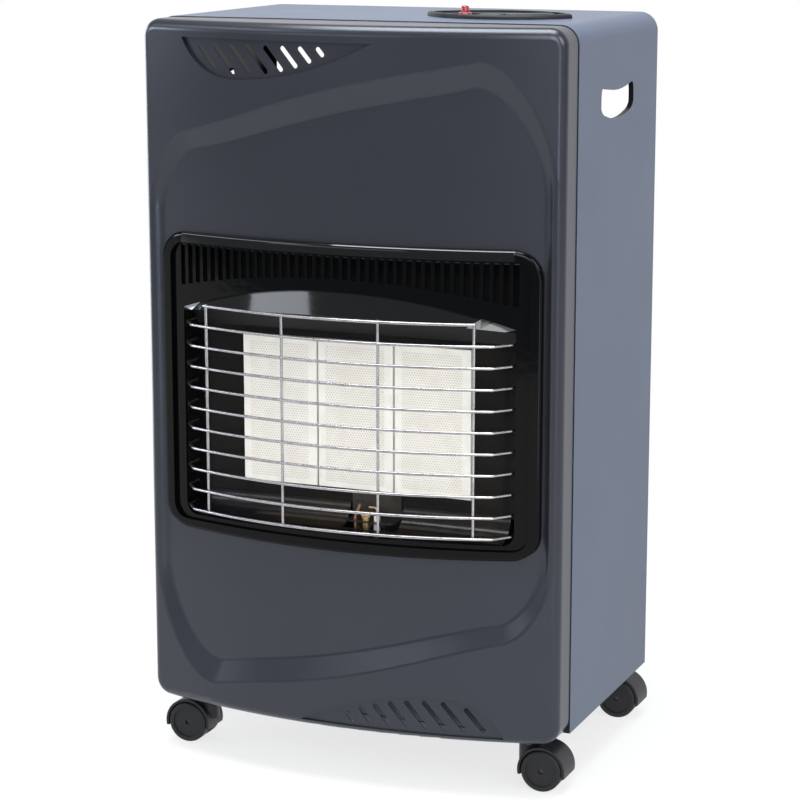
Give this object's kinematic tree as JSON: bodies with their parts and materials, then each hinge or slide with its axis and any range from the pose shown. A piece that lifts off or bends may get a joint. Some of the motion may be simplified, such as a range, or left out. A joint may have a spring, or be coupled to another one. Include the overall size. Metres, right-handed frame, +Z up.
{
  "type": "portable gas cabinet heater",
  "caption": "Upright cabinet heater with bowed pressed front, guarded ceramic burner, control knob and igniter button in the roof, bottle bay behind, on swivel castors.",
  "frame": {"origin": "centre of the bounding box's foot, on the floor the castors stand on", "axes": "+Z up, the burner faces -Y, +X is the side to the viewer's right when facing the burner"},
  "size_m": [0.42, 0.4298, 0.724],
  "materials": {
    "cabinet_paint": "satin blue-grey powder coat",
    "panel_paint": "dark satin metallic paint",
    "enamel": "gloss black vitreous enamel",
    "chrome_wire": "bright plated",
    "plaque": "matt perforated ceramic",
    "burner_steel": "pressed aluminised steel",
    "reflector_steel": "bright polished sheet",
    "zinc_sheet": "galvanised sheet",
    "zinc_screw": "zinc plated",
    "valve_metal": "die cast",
    "brass": "turned",
    "tube": "drawn tube",
    "copper": "drawn copper",
    "white_ceramic": "glazed",
    "spark_metal": "heat-tinted",
    "lead_sleeve": "matt",
    "bezel_plastic": "fine grain",
    "knob_plastic": "satin",
    "button_plastic": "gloss",
    "tray_paint": "satin dark paint",
    "castor_plastic": "satin",
    "wheel_rubber": "matt"
  },
  "bodies": {
    "cabinet": {"housing": "cabinet_paint", "front_panel": "panel_paint", "fascia": "enamel", "wire_guard": "chrome_wire", "plaque_left": "plaque", "plaque_center": "plaque", "plaque_right": "plaque", "burner_left": "burner_steel", "burner_center": "burner_steel", "burner_right": "burner_steel", "burner_rails": "burner_steel", "reflector_frame": "reflector_steel", "reflector_cheeks": "reflector_steel", "reflector_canopy": "reflector_steel", "reflector_deflector": "reflector_steel", "heat_shield": "zinc_sheet", "valve_hanger": "zinc_sheet", "injector_rail": "zinc_sheet", "pipe_clips": "zinc_sheet", "pilot_bracket": "zinc_sheet", "rail_screws": "zinc_screw", "gas_valve": "valve_metal", "valve_nut": "brass", "gas_inlet": "brass", "injectors": "brass", "pilot_burner": "brass", "gas_pipe_left": "tube", "gas_pipe_center": "tube", "gas_pipe_right": "tube", "pilot_pipe": "tube", "flame_sensor": "copper", "spark_insulator": "white_ceramic", "spark_wire": "spark_metal", "ignition_lead": "lead_sleeve", "control_bezel": "bezel_plastic", "piezo_igniter": "bezel_plastic", "igniter_nut": "bezel_plastic", "base_tray": "tray_paint", "castor_sockets": "castor_plastic"},
    "valve_rotor_body": {"valve_rotor": "brass"},
    "control_knob_body": {"valve_stem": "brass", "control_knob": "knob_plastic"},
    "igniter_button_body": {"igniter_button": "button_plastic"},
    "rear_cover_body": {"rear_cover": "tray_paint"},
    "castor_front_left_body": {"castor_front_left": "castor_plastic", "axle_front_left": "zinc_screw"},
    "wheel_front_left_fore_body": {"wheel_front_left_fore": "wheel_rubber"},
    "wheel_front_left_aft_body": {"wheel_front_left_aft": "wheel_rubber"},
    "castor_front_right_body": {"castor_front_right": "castor_plastic", "axle_front_right": "zinc_screw"},
    "wheel_front_right_fore_body": {"wheel_front_right_fore": "wheel_rubber"},
    "wheel_front_right_aft_body": {"wheel_front_right_aft": "wheel_rubber"},
    "castor_rear_left_body": {"castor_rear_left": "castor_plastic", "axle_rear_left": "zinc_screw"},
    "wheel_rear_left_fore_body": {"wheel_rear_left_fore": "wheel_rubber"},
    "wheel_rear_left_aft_body": {"wheel_rear_left_aft": "wheel_rubber"},
    "castor_rear_right_body": {"castor_rear_right": "castor_plastic", "axle_rear_right": "zinc_screw"},
    "wheel_rear_right_fore_body": {"wheel_rear_right_fore": "wheel_rubber"},
    "wheel_rear_right_aft_body": {"wheel_rear_right_aft": "wheel_rubber"}
  },
  "joints": [
    {"name": "valve_turn", "type": "hinge", "parent": "cabinet", "child": "valve_rotor_body", "pos_m": [0.129, -0.03408, 0.678], "axis": [0, 0, 1], "range_deg": [0, 210]},
    {"name": "knob_push", "type": "slide", "parent": "valve_rotor_body", "child": "control_knob_body", "axis": [0, 0, -1], "range_m": [0, 0.0035], "stiffness_N_per_m": 1500, "springref_m": -0.002},
    {"name": "button_push", "type": "slide", "parent": "cabinet", "child": "igniter_button_body", "axis": [0, 0, -1], "range_m": [0, 0.005], "stiffness_N_per_m": 1200, "springref_m": -0.002},
    {"name": "cover_off", "type": "slide", "parent": "cabinet", "child": "rear_cover_body", "axis": [0, 1, 0], "range_m": [0, 0.12]},
    {"name": "swivel_front_left", "type": "hinge", "parent": "cabinet", "child": "castor_front_left_body", "pos_m": [-0.169, -0.12707, 0.054], "axis": [0, 0, 1], "continuous": true},
    {"name": "roll_front_left_fore", "type": "hinge", "parent": "castor_front_left_body", "child": "wheel_front_left_fore_body", "pos_m": [-0.1855, -0.12707, 0.02], "axis": [0, 1, 0], "continuous": true},
    {"name": "roll_front_left_aft", "type": "hinge", "parent": "castor_front_left_body", "child": "wheel_front_left_aft_body", "pos_m": [-0.1855, -0.12707, 0.02], "axis": [0, 1, 0], "continuous": true},
    {"name": "swivel_front_right", "type": "hinge", "parent": "cabinet", "child": "castor_front_right_body", "pos_m": [0.169, -0.12707, 0.054], "axis": [0, 0, 1], "continuous": true},
    {"name": "roll_front_right_fore", "type": "hinge", "parent": "castor_front_right_body", "child": "wheel_front_right_fore_body", "pos_m": [0.1855, -0.12707, 0.02], "axis": [0, 1, 0], "continuous": true},
    {"name": "roll_front_right_aft", "type": "hinge", "parent": "castor_front_right_body", "child": "wheel_front_right_aft_body", "pos_m": [0.1855, -0.12707, 0.02], "axis": [0, 1, 0], "continuous": true},
    {"name": "swivel_rear_left", "type": "hinge", "parent": "cabinet", "child": "castor_rear_left_body", "pos_m": [-0.169, 0.10493, 0.054], "axis": [0, 0, 1], "continuous": true},
    {"name": "roll_rear_left_fore", "type": "hinge", "parent": "castor_rear_left_body", "child": "wheel_rear_left_fore_body", "pos_m": [-0.1855, 0.10493, 0.02], "axis": [0, 1, 0], "continuous": true},
    {"name": "roll_rear_left_aft", "type": "hinge", "parent": "castor_rear_left_body", "child": "wheel_rear_left_aft_body", "pos_m": [-0.1855, 0.10493, 0.02], "axis": [0, 1, 0], "continuous": true},
    {"name": "swivel_rear_right", "type": "hinge", "parent": "cabinet", "child": "castor_rear_right_body", "pos_m": [0.169, 0.10493, 0.054], "axis": [0, 0, 1], "continuous": true},
    {"name": "roll_rear_right_fore", "type": "hinge", "parent": "castor_rear_right_body", "child": "wheel_rear_right_fore_body", "pos_m": [0.1855, 0.10493, 0.02], "axis": [0, 1, 0], "continuous": true},
    {"name": "roll_rear_right_aft", "type": "hinge", "parent": "castor_rear_right_body", "child": "wheel_rear_right_aft_body", "pos_m": [0.1855, 0.10493, 0.02], "axis": [0, 1, 0], "continuous": true}
  ]
}
